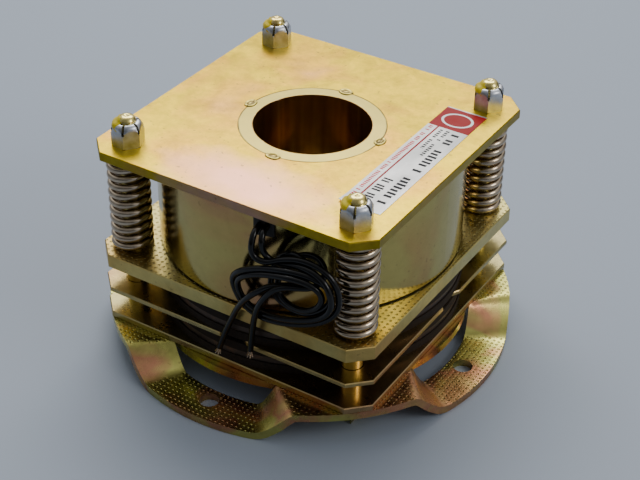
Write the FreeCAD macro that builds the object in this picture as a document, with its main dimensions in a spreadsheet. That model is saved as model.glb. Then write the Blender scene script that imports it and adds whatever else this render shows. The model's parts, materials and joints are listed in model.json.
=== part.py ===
import FreeCAD, Part
import math
import os
import Sketcher

# Spring-applied electromagnetic disc brake: square plates on four guide studs, two friction discs,
# a round magnet under the square top plate, and a pressed round flange below.
# Frame: origin on the axis at the flange's lowest face, +Z up to the lock nuts, plate sides along X and Y.

DIMENSIONS = {
    "plate_side": 145.0,          # the four square plates
    "plate_chamfer": 9.0,
    "edge_break": 0.4,
    "stud_offset": 58.5,          # guide stud centres from the axis, along X and along Y
    "flange_radius": 96.0,
    "flange_thick": 3.6,
    "flange_drop": 13.2,          # how far each pressed lobe stands below the middle of the flange
    "flange_opening": 32.0,       # radius
    "shear_radius": 76.4,         # arc where the lobes are lanced free of the middle
    "shear_gap": 1.2,
    "lobe_hole_radius": 4.5,
    "lobe_hole_circle": 84.0,     # radius
    "lobe_low_half": 18.5,        # half width of a lobe's flat, at lobe_low_station from the axis
    "lobe_low_station": 74.0,
    "lobe_low_flare": 0.43,
    "lobe_high_half": 27.0,       # half width where the ramps reach the middle's level
    "lobe_high_station": 70.0,
    "lobe_high_flare": 1.46,
    "lobe_grind": 0.1,            # taken off under each lobe so that the four stand level
    "base_thick": 3.2,
    "disc_thick": 11.4,
    "middle_thick": 2.3,
    "armature_thick": 7.0,
    "air_gap": 1.0,
    "magnet_height": 48.5,
    "top_thick": 4.5,
    "plate_bore": 30.0,           # radius of the hole in the bottom and intermediate plates
    "notch_half": 8.0,
    "notch_depth": 6.0,
    "notch_shift": 6.5,
    "stud_radius": 5.0,
    "thread_radius": 3.9,
    "stud_slide": 0.3,            # radial clearance of the moving plates on the studs
    "stud_neck": 4.0,
    "stud_head": 6.0,
    "stud_head_thick": 2.0,
    "thread_start": 96.0,
    "stud_tip": 119.6,
    "thread_hole": 4.3,
    "nut_flats": 13.0,
    "nut_height": 8.0,
    "nut_crown": 2.8,
    "nut_crown_base": 6.1,
    "nut_crown_top": 5.2,
    "nut_slot": 1.5,
    "spring_mean": 7.5,
    "spring_wire": 1.5,
    "spring_pitch": 4.6,
    "can_radius": 70.7,
    "can_wall": 4.5,
    "pole_outer": 33.6,
    "pole_inner": 27.0,
    "pole_fit": 0.15,
    "slot_angle": -73.5,          # direction of the lead slot, degrees from +X
    "slot_width": 6.0,
    "slot_bottom": 93.5,
    "bobbin_wall": 2.0,
    "bobbin_low": 56.2,
    "bobbin_high": 100.8,
    "winding_radius": 62.5,
    "wrap_thick": 0.8,
    "seal_low": 53.6,
    "seal_high": 56.0,
    "lining_inner": 44.0,
    "lining_outer": 72.0,
    "lining_thick": 4.0,
    "core_outer": 71.4,
    "hub_flats": 38.0,
    "hub_fit": 0.2,
    "hub_low": 17.2,
    "hub_high": 46.4,
    "shaft_radius": 11.0,
    "key_width": 6.0,
    "key_height": 13.8,
    "label_width": 20.0,
    "label_length": 96.0,
    "label_thick": 0.2,
    "label_edge": 63.4,
    "label_corner": 3.0,
    "lead_radius": 1.4,
    "lead_core": 0.8,
    "lead_bare": 3.5,
    "knot_half_width": 28.0,
    "knot_half_height": 17.0,
    "knot_depth": 8.0,
    "knot_hole_width": 12.0,
    "knot_hole_height": 6.2,
    "knot_round": 2.5,
    "grommet_stand": 1.6,
    "grommet_lip": 1.5,
}

doc = FreeCAD.newDocument("disc_brake")
sheet = doc.addObject("Spreadsheet::Sheet", "dims")
for row, (alias, number) in enumerate(DIMENSIONS.items(), start=1):
    sheet.set("A%d" % row, alias)
    sheet.set("B%d" % row, str(number))
    sheet.setAlias("B%d" % row, alias)
doc.recompute()


def dim(alias):
    """A driving dimension's value, for shapes that are computed in this script."""
    return float(sheet.get(alias))


def value(expression):
    """The number that an expression in the sheet's terms stands for."""
    result = sheet.evalExpression(expression)
    return float(getattr(result, "Value", result))


# Levels of the stack, as expressions from the lowest face upwards.
FLANGE_UNDER = "dims.flange_drop"
BASE_BOTTOM = FLANGE_UNDER + " + dims.flange_thick"
BASE_TOP = BASE_BOTTOM + " + dims.base_thick"
MIDDLE_BOTTOM = BASE_TOP + " + dims.disc_thick"
MIDDLE_TOP = MIDDLE_BOTTOM + " + dims.middle_thick"
ARMATURE_BOTTOM = MIDDLE_TOP + " + dims.disc_thick"
ARMATURE_TOP = ARMATURE_BOTTOM + " + dims.armature_thick"
MAGNET_BOTTOM = ARMATURE_TOP + " + dims.air_gap"
TOP_BOTTOM = MAGNET_BOTTOM + " + dims.magnet_height"
TOP_FACE = TOP_BOTTOM + " + dims.top_thick"

CORNERS = {"front_left": (-1, -1), "front_right": (1, -1), "back_right": (1, 1), "back_left": (-1, 1)}
nodes = {}


def keep(label, obj):
    """Registers an object as the sub-part of that name."""
    obj.Label = label
    nodes[label] = obj
    return obj


def bind(obj, **expressions):
    """Binds properties to expressions; at_x, at_y and at_z stand for the placement."""
    for prop, expression in expressions.items():
        path = "Placement.Base." + prop[3:] if prop.startswith("at_") else prop
        obj.setExpression(path, str(expression))
    return obj


# ---------------------------------------------------------------- helpers: Part primitives

def cylinder(name, radius, height, z="0", x="0", y="0"):
    obj = doc.addObject("Part::Cylinder", name)
    return bind(obj, Radius=radius, Height=height, at_x=x, at_y=y, at_z=z)


def box(name, size_x, size_y, size_z, x, y, z):
    obj = doc.addObject("Part::Box", name)
    return bind(obj, Length=size_x, Width=size_y, Height=size_z, at_x=x, at_y=y, at_z=z)


def cut(name, base, tool):
    obj = doc.addObject("Part::Cut", name)
    obj.Base = base
    obj.Tool = tool
    return obj


def join(name, shapes):
    obj = doc.addObject("Part::MultiFuse", name)
    obj.Shapes = shapes
    return obj


def tube(name, outer, inner, height, z):
    """A plain ring: an outer cylinder less an inner one."""
    body = cylinder(name + "_outer", outer, height, z)
    return cut(name, body, cylinder(name + "_bore", inner, height, z))


def solid(label, shape):
    """A sub-part whose shape is computed in this script."""
    obj = doc.addObject("Part::Feature", label)
    obj.Shape = shape
    obj.Placement = FreeCAD.Placement()
    return keep(label, obj)


# ---------------------------------------------------------------- helpers: PartDesign

def new_body(label, z="0"):
    body = doc.addObject("PartDesign::Body", label)
    if z is not None:
        bind(body, at_z=z)
    return keep(label, body)


def new_sketch(body, name, role="XY_Plane"):
    plane = [item for item in body.Origin.OriginFeatures if item.Role == role][0]
    sketch = body.newObject("Sketcher::SketchObject", name)
    sketch.AttachmentSupport = [(plane, "")]
    sketch.MapMode = "FlatFace"
    return sketch


def draw_polygon(sketch, points):
    """Draws a closed outline and ties each corner to the origin by expressions (x, y)."""
    places = [FreeCAD.Vector(value(x), value(y), 0) for x, y in points]
    first = sketch.GeometryCount
    for index, start in enumerate(places):
        sketch.addGeometry(Part.LineSegment(start, places[(index + 1) % len(places)]), False)
    for index in range(len(points)):
        following = first + (index + 1) % len(points)
        sketch.addConstraint(Sketcher.Constraint("Coincident", first + index, 2, following, 1))
    for index, (x, y) in enumerate(points):
        for kind, text, number in (("DistanceX", x, places[index].x), ("DistanceY", y, places[index].y)):
            if abs(number) < 1e-9:
                kind_of_axis = -2 if kind == "DistanceX" else -1
                sketch.addConstraint(Sketcher.Constraint("PointOnObject", first + index, 1, kind_of_axis))
                continue
            which = sketch.addConstraint(Sketcher.Constraint(kind, -1, 1, first + index, 1, number))
            sketch.setExpression("Constraints[%d]" % which, text)


def draw_circle(sketch, radius, x=None, y=None):
    """Draws a circle of an expression's radius, on the origin or at expressions (x, y)."""
    centre = FreeCAD.Vector(value(x) if x else 0, value(y) if y else 0, 0)
    ring = sketch.addGeometry(Part.Circle(centre, FreeCAD.Vector(0, 0, 1), value(radius)), False)
    if x is None:
        sketch.addConstraint(Sketcher.Constraint("Coincident", ring, 3, -1, 1))
    else:
        for kind, text, number in (("DistanceX", x, centre.x), ("DistanceY", y, centre.y)):
            which = sketch.addConstraint(Sketcher.Constraint(kind, -1, 1, ring, 3, number))
            sketch.setExpression("Constraints[%d]" % which, text)
    which = sketch.addConstraint(Sketcher.Constraint("Radius", ring, value(radius)))
    sketch.setExpression("Constraints[%d]" % which, radius)


def pad(body, sketch, length):
    feature = body.newObject("PartDesign::Pad", body.Name + "_pad")
    feature.Profile = sketch
    bind(feature, Length=length)
    sketch.Visibility = False
    return feature


def break_edges(body, feature, heights):
    """Chamfers the straight outer edges that lie flat at the given heights."""
    doc.recompute()
    names = []
    for index, edge in enumerate(feature.Shape.Edges, start=1):
        box_of_edge = edge.BoundBox
        flat = any(abs(box_of_edge.ZMin - at) < 1e-4 and abs(box_of_edge.ZMax - at) < 1e-4 for at in heights)
        if flat and isinstance(edge.Curve, Part.Line):
            names.append("Edge%d" % index)
    chamfer = body.newObject("PartDesign::Chamfer", body.Name + "_edges")
    chamfer.Base = (feature, names)
    bind(chamfer, Size="dims.edge_break")
    return chamfer


# ---------------------------------------------------------------- the square plates

def plate_outline(notched=False):
    """Corners of a chamfered square, anticlockwise from the front side, with V notches if asked."""
    half = "dims.plate_side / 2"
    short = "(dims.plate_side / 2 - dims.plate_chamfer)"
    side = [("-" + short, "-" + half)]
    if notched:
        side.append(("dims.notch_shift - dims.notch_half", "-" + half))
        side.append(("dims.notch_shift - dims.notch_half / 2", "dims.notch_depth - " + half))
        side.append(("dims.notch_shift + dims.notch_half", "-" + half))
    side.append((short, "-" + half))
    outline = []
    for turn in range(4):
        for x, y in side:
            outline.append(((x, y), ("-(%s)" % y, x), ("-(%s)" % x, "-(%s)" % y), (y, "-(%s)" % x))[turn])
    return outline


def square_plate(label, z, thick, bore, stud_hole, notched=False):
    """A square plate with chamfered corners, a round bore and four stud holes."""
    body = new_body(label, z)
    sketch = new_sketch(body, label + "_outline")
    draw_polygon(sketch, plate_outline(notched))
    draw_circle(sketch, bore)
    for side_x, side_y in CORNERS.values():
        draw_circle(sketch, stud_hole, "%d * dims.stud_offset" % side_x, "%d * dims.stud_offset" % side_y)
    feature = pad(body, sketch, thick)
    break_edges(body, feature, (0.0, value(thick)))
    return body


def build_plates():
    sliding = "dims.stud_radius + dims.stud_slide"
    square_plate("bottom_plate", BASE_BOTTOM, "dims.base_thick", "dims.plate_bore", "dims.stud_neck + 0.1")
    square_plate("intermediate_plate", MIDDLE_BOTTOM, "dims.middle_thick", "dims.plate_bore", sliding, True)
    square_plate("armature_plate", ARMATURE_BOTTOM, "dims.armature_thick", "dims.pole_inner", sliding)
    square_plate("top_plate", TOP_BOTTOM, "dims.top_thick", "dims.pole_outer + dims.pole_fit", "dims.thread_hole")


# ---------------------------------------------------------------- the pressed mounting flange

def lobe_section(station):
    """One lobe's cross-section, square to its radius, at a distance from the axis along -Y."""
    thick = dim("flange_thick")
    high = dim("flange_drop") + thick
    low_half = dim("lobe_low_half") + dim("lobe_low_flare") * (station - dim("lobe_low_station"))
    high_half = dim("lobe_high_half") + dim("lobe_high_flare") * (station - dim("lobe_high_station"))
    slope = math.atan2(dim("flange_drop"), high_half - low_half)
    shift = thick * math.tan(slope / 2)
    margin = 2 * thick
    below = high - thick
    top = [(-high_half - margin, high), (-high_half, high), (-low_half, thick)]
    under = [(low_half + shift, -dim("lobe_grind")), (high_half + shift, below), (high_half + margin, below)]
    outline = top + [(-x, z) for x, z in reversed(top)] + list(reversed(under)) + [(-x, z) for x, z in under]
    corners = [FreeCAD.Vector(x, -station, z) for x, z in outline]
    return Part.makePolygon(corners + corners[:1])


def flange_lobe():
    """The lobe towards -Y: a flat standing on the mounting face, with a ramp up at each end."""
    near = dim("lobe_high_station") - 4
    far = dim("flange_radius") + 2
    sheet_metal = Part.makeLoft([lobe_section(near), lobe_section(far)], True, True)
    height = dim("flange_drop") + dim("flange_thick") + 2
    ring = Part.makeCylinder(dim("flange_radius"), height)
    ring = ring.cut(Part.makeCylinder(dim("shear_radius") + dim("shear_gap") / 2, height))
    return sheet_metal.common(ring)


def lobe_window():
    """What the lobe towards -Y leaves out of the flat flange: the ramps' plan outside the lanced arc."""
    corners = []
    for station in (dim("lobe_high_station") - 4, dim("flange_radius") + 2):
        half = dim("lobe_high_half") + dim("lobe_high_flare") * (station - dim("lobe_high_station"))
        corners.append(FreeCAD.Vector(-half, -station, 0))
        corners.insert(0, FreeCAD.Vector(half, -station, 0))
    height = dim("flange_drop") + dim("flange_thick") + 2
    plan = Part.Face(Part.makePolygon(corners + corners[:1])).extrude(FreeCAD.Vector(0, 0, height))
    return plan.cut(Part.makeCylinder(dim("shear_radius"), height))


def lanced_slot():
    """The curved slot towards -Y that frees a lobe from the middle of the flange."""
    height = dim("flange_drop") + dim("flange_thick") + 2
    inner = dim("shear_radius") - dim("shear_gap") / 2
    outer = dim("shear_radius") + dim("shear_gap") / 2
    half_angle = math.degrees(math.atan2(dim("lobe_high_half"), dim("lobe_high_station"))) + 1.5
    ring = Part.makeCylinder(outer, height, FreeCAD.Vector(), FreeCAD.Vector(0, 0, 1), 2 * half_angle)
    ring = ring.cut(Part.makeCylinder(inner, height))
    ring.rotate(FreeCAD.Vector(), FreeCAD.Vector(0, 0, 1), -90 - half_angle)
    return ring


def quarters(shape):
    """The shape and its copies turned by 90, 180 and 270 degrees about the axis."""
    copies = []
    for quarter in range(4):
        copy = shape.copy()
        copy.rotate(FreeCAD.Vector(), FreeCAD.Vector(0, 0, 1), 90 * quarter)
        copies.append(copy)
    return copies


def build_flange():
    """The pressed flange: a flat ring, four lobes folded down from it, and its holes."""
    flat = Part.makeCylinder(dim("flange_radius"), dim("flange_thick"), FreeCAD.Vector(0, 0, dim("flange_drop")))
    flat = flat.cut(quarters(lobe_window()) + quarters(lanced_slot()))
    shape = flat.fuse(quarters(flange_lobe())).removeSplitter()
    through = dim("flange_drop") + dim("flange_thick") + 2
    below = FreeCAD.Vector(0, 0, -1)
    bolt_hole = Part.makeCylinder(dim("lobe_hole_radius"), through, FreeCAD.Vector(dim("lobe_hole_circle"), 0, -1))
    stud_place = FreeCAD.Vector(dim("stud_offset"), dim("stud_offset"), -1)
    stud_hole = Part.makeCylinder(dim("stud_neck") + 0.1, through, stud_place)
    opening = Part.makeCylinder(dim("flange_opening"), through, below)
    solid("mounting_flange", shape.cut([opening] + quarters(bolt_hole) + quarters(stud_hole)))


# ---------------------------------------------------------------- studs, springs and lock nuts

def build_stud(corner, side_x, side_y):
    """A turned stud: riveted foot, neck, guide diameter, thread and domed tip."""
    label = "guide_stud_" + corner
    body = new_body(label)
    bind(body, at_x="%d * dims.stud_offset" % side_x, at_y="%d * dims.stud_offset" % side_y)
    sketch = new_sketch(body, label + "_profile", "XZ_Plane")
    foot = "(%s - dims.stud_head_thick)" % FLANGE_UNDER
    draw_polygon(sketch, [
        ("0", foot),
        ("dims.stud_head - 1", foot),
        ("dims.stud_head", foot + " + 1"),
        ("dims.stud_head", FLANGE_UNDER),
        ("dims.stud_neck", FLANGE_UNDER),
        ("dims.stud_neck", BASE_TOP),
        ("dims.stud_radius", BASE_TOP),
        ("dims.stud_radius", "dims.thread_start - 1"),
        ("dims.thread_radius", "dims.thread_start"),
        ("dims.thread_radius", "dims.stud_tip - 1.6"),
        ("dims.thread_radius - 0.9", "dims.stud_tip - 0.4"),
        ("dims.thread_radius - 2.4", "dims.stud_tip"),
        ("0", "dims.stud_tip"),
    ])
    turned = body.newObject("PartDesign::Revolution", label + "_turned")
    turned.Profile = sketch
    turned.ReferenceAxis = (sketch, ["V_Axis"])
    turned.Angle = 360.0
    sketch.Visibility = False


def build_spring(corner, side_x, side_y):
    """A compression spring: a helix swept to length, with both ends ground flat."""
    label = "brake_spring_" + corner
    x = "%d * dims.stud_offset" % side_x
    y = "%d * dims.stud_offset" % side_y
    length = "(dims.magnet_height + dims.air_gap)"
    helix = doc.addObject("Part::Helix", label + "_line")
    bind(helix, Pitch="dims.spring_pitch", Height=length + " + 2 * dims.spring_wire", Radius="dims.spring_mean")
    section = doc.addObject("Part::Circle", label + "_section")
    bind(section, Radius="dims.spring_wire", at_x="dims.spring_mean")
    section.Placement.Rotation = FreeCAD.Rotation(FreeCAD.Vector(1, 0, 0), 90)
    coil = doc.addObject("Part::Sweep", label + "_coil")
    coil.Sections = [section]
    coil.Spine = (helix, [])
    coil.Solid = True
    coil.Frenet = True
    bind(coil, at_x=x, at_y=y, at_z=ARMATURE_TOP + " - dims.spring_wire")
    ground = cylinder(label + "_ends", "dims.spring_mean + 3 * dims.spring_wire", length, ARMATURE_TOP, x, y)
    spring = doc.addObject("Part::Common", label)
    spring.Base = coil
    spring.Tool = ground
    keep(label, spring)


def build_nut(corner, side_x, side_y):
    """An all-metal lock nut: hexagon with a slotted conical crown."""
    label = "lock_nut_" + corner
    x = "%d * dims.stud_offset" % side_x
    y = "%d * dims.stud_offset" % side_y
    prism = doc.addObject("Part::Prism", label + "_hexagon")
    prism.Polygon = 6
    bind(prism, Circumradius="dims.nut_flats / 2 / cos(30)", Height="dims.nut_height", at_x=x, at_y=y, at_z=TOP_FACE)
    crown = doc.addObject("Part::Cone", label + "_crown")
    bind(crown, Radius1="dims.nut_crown_base", Radius2="dims.nut_crown_top", Height="dims.nut_crown",
         at_x=x, at_y=y, at_z=TOP_FACE + " + dims.nut_height")
    cutters = [cylinder(label + "_thread", "dims.thread_radius + 0.05", "20", TOP_FACE + " - 1", x, y)]
    for third in range(3):
        slot = doc.addObject("Part::Box", label + "_slot%d" % third)
        turn = math.radians(60 * third)
        bind(slot, Length="20", Width="dims.nut_slot", Height="dims.nut_crown + 2",
             at_x="%s - 10 * %.9f + dims.nut_slot / 2 * %.9f" % (x, math.cos(turn), math.sin(turn)),
             at_y="%s - 10 * %.9f - dims.nut_slot / 2 * %.9f" % (y, math.sin(turn), math.cos(turn)),
             at_z=TOP_FACE + " + dims.nut_height")
        slot.Placement.Rotation = FreeCAD.Rotation(FreeCAD.Vector(0, 0, 1), 60 * third)
        cutters.append(slot)
    keep(label, cut(label, join(label + "_blank", [prism, crown]), join(label + "_cutters", cutters)))


# ---------------------------------------------------------------- the magnet

def build_magnet():
    height = "dims.magnet_height"
    inner = "dims.can_radius - dims.can_wall"
    slot = box("lead_slot", "30", "dims.slot_width", "60", "0", "0", "dims.slot_bottom")
    turn = math.radians(dim("slot_angle"))
    start = dim("can_radius") - 15
    half = dim("slot_width") / 2
    slot.Placement.Rotation = FreeCAD.Rotation(FreeCAD.Vector(0, 0, 1), dim("slot_angle"))
    bind(slot, at_x="%.9f" % (start * math.cos(turn) + half * math.sin(turn)),
         at_y="%.9f" % (start * math.sin(turn) - half * math.cos(turn)))
    can = tube("can_ring", "dims.can_radius", inner, height, MAGNET_BOTTOM)
    keep("yoke_can", cut("yoke_can", can, slot))
    pole_height = height + " + dims.top_thick"
    keep("pole_tube", tube("pole_tube", "dims.pole_outer", "dims.pole_inner", pole_height, MAGNET_BOTTOM))
    bobbin_inner = "dims.pole_outer + 0.3"
    bobbin_outer = inner + " - 0.3"
    bobbin_height = "dims.bobbin_high - dims.bobbin_low"
    barrel = tube("bobbin_body", bobbin_outer, bobbin_inner, bobbin_height, "dims.bobbin_low")
    room = tube("bobbin_room", bobbin_outer + " + 1", bobbin_inner + " + dims.bobbin_wall",
                bobbin_height + " - 2 * dims.bobbin_wall", "dims.bobbin_low + dims.bobbin_wall")
    keep("coil_bobbin", cut("coil_bobbin", barrel, room))
    winding_height = bobbin_height + " - 2 * dims.bobbin_wall - 0.4"
    winding_low = "dims.bobbin_low + dims.bobbin_wall + 0.2"
    winding_inner = bobbin_inner + " + dims.bobbin_wall + 0.1"
    keep("coil_winding", tube("coil_winding", "dims.winding_radius", winding_inner, winding_height, winding_low))
    wrap_outer = "dims.winding_radius + dims.wrap_thick"
    keep("coil_wrap", tube("coil_wrap", wrap_outer, "dims.winding_radius + 0.05", winding_height, winding_low))
    keep("coil_seal", tube("coil_seal", inner + " - 0.1", "dims.pole_outer + 0.1",
                           "dims.seal_high - dims.seal_low", "dims.seal_low"))


# ---------------------------------------------------------------- hub and friction discs

def hexagon(name, flats, height, z):
    prism = doc.addObject("Part::Prism", name)
    prism.Polygon = 6
    return bind(prism, Circumradius="(%s) / 2 / cos(30)" % flats, Height=height, at_z=z)


def build_hub():
    height = "dims.hub_high - dims.hub_low"
    blank = hexagon("hub_hexagon", "dims.hub_flats", height, "dims.hub_low")
    bore = cylinder("hub_bore", "dims.shaft_radius", height + " + 2", "dims.hub_low - 1")
    key = box("hub_key", "dims.key_width", "dims.key_height", height + " + 2",
              "-dims.key_width / 2", "0", "dims.hub_low - 1")
    keep("drive_hub", cut("drive_hub", blank, join("hub_cutters", [bore, key])))


def build_disc(name, z):
    """A steel core driven by the hub's hexagon, with a bonded lining ring on each face."""
    core_thick = "dims.disc_thick - 2 * dims.lining_thick"
    core_z = z + " + dims.lining_thick"
    blank = cylinder(name + "_blank", "dims.core_outer", core_thick, core_z)
    hole = hexagon(name + "_hexagon", "dims.hub_flats + 2 * dims.hub_fit", core_thick, core_z)
    keep(name + "_core", cut(name + "_core", blank, hole))
    for side, lining_z in (("lower", z), ("upper", core_z + " + " + core_thick)):
        label = "%s_%s_lining" % (name, side)
        keep(label, tube(label, "dims.lining_outer", "dims.lining_inner", "dims.lining_thick", lining_z))


# ---------------------------------------------------------------- label, grommet and leads

def build_label():
    body = new_body("blank_label", TOP_FACE)
    sketch = new_sketch(body, "label_outline")
    left = "dims.label_edge - dims.label_width"
    half = "dims.label_length / 2"
    draw_polygon(sketch, [(left, "-" + half), ("dims.label_edge", "-" + half), ("dims.label_edge", half), (left, half)])
    foil = pad(body, sketch, "dims.label_thick")
    doc.recompute()
    names = []
    for index, edge in enumerate(foil.Shape.Edges, start=1):
        if edge.BoundBox.ZLength > value("dims.label_thick") / 2 and edge.BoundBox.YMax < 0:
            names.append("Edge%d" % index)
    rounded = body.newObject("PartDesign::Fillet", "label_corners")
    rounded.Base = (foil, names)
    bind(rounded, Radius="dims.label_corner")


def lead_tube(label, points, radius):
    """A round lead: straight runs joined by tangent arcs, each as large as its two runs allow."""
    route = [FreeCAD.Vector(*point) for point in points]
    edges = []
    start = route[0]
    radii = []
    for before, corner, after in zip(route, route[1:], route[2:]):
        incoming = (corner - before).normalize()
        outgoing = (after - corner).normalize()
        half_turn = incoming.getAngle(outgoing) / 2
        back = 0.45 * min((corner - before).Length, (after - corner).Length)
        bend = back / math.tan(half_turn)
        radii.append(bend)
        enter = corner - incoming * back
        leave = corner + outgoing * back
        inward = (outgoing - incoming).normalize()
        centre = corner + inward * (bend / math.cos(half_turn))
        middle = centre - inward * bend
        edges.append(Part.LineSegment(start, enter).toShape())
        edges.append(Part.Arc(enter, middle, leave).toShape())
        start = leave
    edges.append(Part.LineSegment(start, route[-1]).toShape())
    spine = Part.Wire(edges)
    direction = (route[1] - route[0]).normalize()
    section = Part.Wire([Part.makeCircle(radius, route[0], direction)])
    shape = spine.makePipeShell([section], True, False)
    ideal = math.pi * radius ** 2 * spine.Length
    print("%s: length %.1f mm, radii %s, volume ratio %.4f"
          % (label, spine.Length, ["%.1f" % bend for bend in radii], shape.Volume / ideal))
    solid(label, shape)
    return route[-1], (route[-1] - route[-2]).normalize()


# The routes of the two leads outside the knot, chosen by hand, in millimetres.
LEAD_EXITS = {
    "lead_a_start": [
        (19.1, -69.8, 97.4), (19.2, -73.2, 97.4), (19.4, -76.1, 95.7), (19.6, -77.7, 92.8),
        (20.2, -77.7, 89.2), (22.0, -77.2, 86.0), (25.2, -76.4, 84.2), (29.0, -75.6, 83.8)],
    "lead_b_start": [
        (22.0, -68.9, 97.4), (22.2, -72.3, 97.4), (22.5, -75.1, 95.7), (22.9, -76.5, 92.8),
        (24.2, -76.3, 89.4), (26.8, -75.6, 87.0), (30.4, -74.9, 86.2)],
}
LEAD_TAILS = {
    "lead_a_tail": [(13.6, -75.0, 62.0), (9.6, -76.2, 51.0), (4.4, -76.4, 39.5), (0.8, -76.0, 29.0)],
    "lead_b_tail": [(21.6, -74.6, 62.0), (18.6, -76.0, 51.5), (18.3, -76.4, 42.5), (17.4, -76.0, 34.5)],
}
KNOT_CENTRE = (34.5, -74.3, 72.6)
KNOT_LEAN = 2.8
KNOT_TILT = 18.8
KNOT_HOLE = (7.7, 0.0)


def build_knot():
    """The loose knot of both leads: a flat oval ring that leans against the magnet."""
    body = new_body("lead_knot", None)
    sketch = new_sketch(body, "knot_outline", "XZ_Plane")
    for half_width, half_height, x, z in (("knot_half_width", "knot_half_height", 0.0, 0.0),
                                          ("knot_hole_width", "knot_hole_height", KNOT_HOLE[0], KNOT_HOLE[1])):
        centre = FreeCAD.Vector(x, z, 0)
        major = centre + FreeCAD.Vector(dim(half_width), 0, 0)
        minor = centre + FreeCAD.Vector(0, dim(half_height), 0)
        sketch.addGeometry(Part.Ellipse(major, minor, centre), False)
    depth = pad(body, sketch, "dims.knot_depth")
    depth.SideType = "Symmetric"
    doc.recompute()
    rims = []
    for index, edge in enumerate(depth.Shape.Edges, start=1):
        if edge.BoundBox.YLength < 1e-3:
            rims.append("Edge%d" % index)
    rounded = body.newObject("PartDesign::Fillet", "knot_rounding")
    rounded.Base = (depth, rims)
    bind(rounded, Radius="dims.knot_round")
    lean = FreeCAD.Rotation(FreeCAD.Vector(0, 0, 1), KNOT_LEAN)
    tilt = FreeCAD.Rotation(FreeCAD.Vector(0, 1, 0), -KNOT_TILT)
    body.Placement = FreeCAD.Placement(FreeCAD.Vector(*KNOT_CENTRE), lean.multiply(tilt))


def build_grommet():
    """A rubber plug that closes the can's slot where the leads come out."""
    turn = math.radians(dim("slot_angle"))
    outward = FreeCAD.Vector(math.cos(turn), math.sin(turn), 0)
    upright = FreeCAD.Vector(0, 0, 1)
    across = upright.cross(outward)
    low = dim("slot_bottom")
    height = value(TOP_BOTTOM) - low

    def block(start, end, width, bottom, tall):
        corner = outward * start - across * (width / 2) + FreeCAD.Vector(0, 0, bottom)
        face = Part.Face(Part.makePolygon([corner, corner + across * width, corner + across * width + upright * tall,
                                           corner + upright * tall, corner]))
        return face.extrude(outward * (end - start))

    width = dim("slot_width")
    can = dim("can_radius")
    lip = dim("grommet_lip")
    plug = block(can - dim("can_wall") + 0.1, can + dim("grommet_stand"), width - 0.1, low + 0.1, height - 0.3)
    collar = block(can + 0.1, can + dim("grommet_stand"), width + 2 * lip, low - lip, height + lip - 0.5)
    can_body = Part.makeCylinder(can + 0.1, 200)
    solid("lead_grommet", plug.fuse(collar.cut(can_body)).removeSplitter())


def build_leads():
    radius = dim("lead_radius")
    for label, points in LEAD_EXITS.items():
        lead_tube(label, points, radius)
    for label, points in LEAD_TAILS.items():
        end, direction = lead_tube(label, points, radius)
        strands = Part.makeCylinder(dim("lead_core"), dim("lead_bare"), end, direction)
        solid(label.replace("_tail", "_bare_end"), strands)
    build_knot()


# ---------------------------------------------------------------- assembly

build_flange()
build_plates()
for corner_name, (sign_x, sign_y) in CORNERS.items():
    build_stud(corner_name, sign_x, sign_y)
    build_spring(corner_name, sign_x, sign_y)
    build_nut(corner_name, sign_x, sign_y)
build_magnet()
build_hub()
build_disc("lower_disc", BASE_TOP)
build_disc("upper_disc", MIDDLE_TOP)
build_label()
build_grommet()
build_leads()
doc.recompute()

for item in doc.Objects:
    if "Invalid" in item.State or "Error" in item.State:
        raise RuntimeError("failed object: %s %s" % (item.Name, item.State))
os.makedirs("parts", exist_ok=True)
for node_name, node in nodes.items():
    shape = node.Shape
    if shape.isNull() or not shape.isValid() or not shape.Solids:
        raise RuntimeError("bad shape: " + node_name)
    print("%-30s solids %d volume %10.1f" % (node_name, len(shape.Solids), shape.Volume))
    shape.exportStep(os.path.join("parts", node_name + ".step"))
print(len(nodes), "nodes")
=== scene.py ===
import json
import math

import bmesh
import bpy
import numpy as np
from mathutils import Matrix, Vector, noise


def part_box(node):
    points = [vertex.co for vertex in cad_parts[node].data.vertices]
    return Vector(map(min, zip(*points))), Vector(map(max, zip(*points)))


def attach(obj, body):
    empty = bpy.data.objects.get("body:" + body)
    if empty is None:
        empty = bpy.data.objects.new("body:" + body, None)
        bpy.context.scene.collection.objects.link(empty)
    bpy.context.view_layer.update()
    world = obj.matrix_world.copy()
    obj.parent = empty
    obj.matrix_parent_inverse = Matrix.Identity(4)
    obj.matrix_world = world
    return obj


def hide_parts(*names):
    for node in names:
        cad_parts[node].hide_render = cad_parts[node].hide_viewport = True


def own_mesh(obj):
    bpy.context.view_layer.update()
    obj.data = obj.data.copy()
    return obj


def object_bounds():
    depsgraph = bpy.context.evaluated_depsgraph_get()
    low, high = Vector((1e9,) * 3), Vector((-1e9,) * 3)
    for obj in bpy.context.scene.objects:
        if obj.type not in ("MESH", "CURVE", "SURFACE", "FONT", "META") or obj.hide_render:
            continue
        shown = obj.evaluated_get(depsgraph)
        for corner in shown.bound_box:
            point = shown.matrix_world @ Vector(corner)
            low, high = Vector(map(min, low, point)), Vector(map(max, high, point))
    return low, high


# A spring-applied disc brake on a plain floor. The frame's origin is on the axis in the mounting
# plane, +Z up towards the lock nuts, plate sides along X and Y. Lengths are in metres; MM turns
# millimetres into them.

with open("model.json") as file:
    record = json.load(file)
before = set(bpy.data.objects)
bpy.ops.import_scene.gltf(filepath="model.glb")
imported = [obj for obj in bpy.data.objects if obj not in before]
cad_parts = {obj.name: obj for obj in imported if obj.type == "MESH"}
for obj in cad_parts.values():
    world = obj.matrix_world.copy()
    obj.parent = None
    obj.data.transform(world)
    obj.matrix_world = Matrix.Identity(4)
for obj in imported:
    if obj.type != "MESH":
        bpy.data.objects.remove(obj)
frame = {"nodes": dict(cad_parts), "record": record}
cad_low, cad_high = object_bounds()

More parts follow.
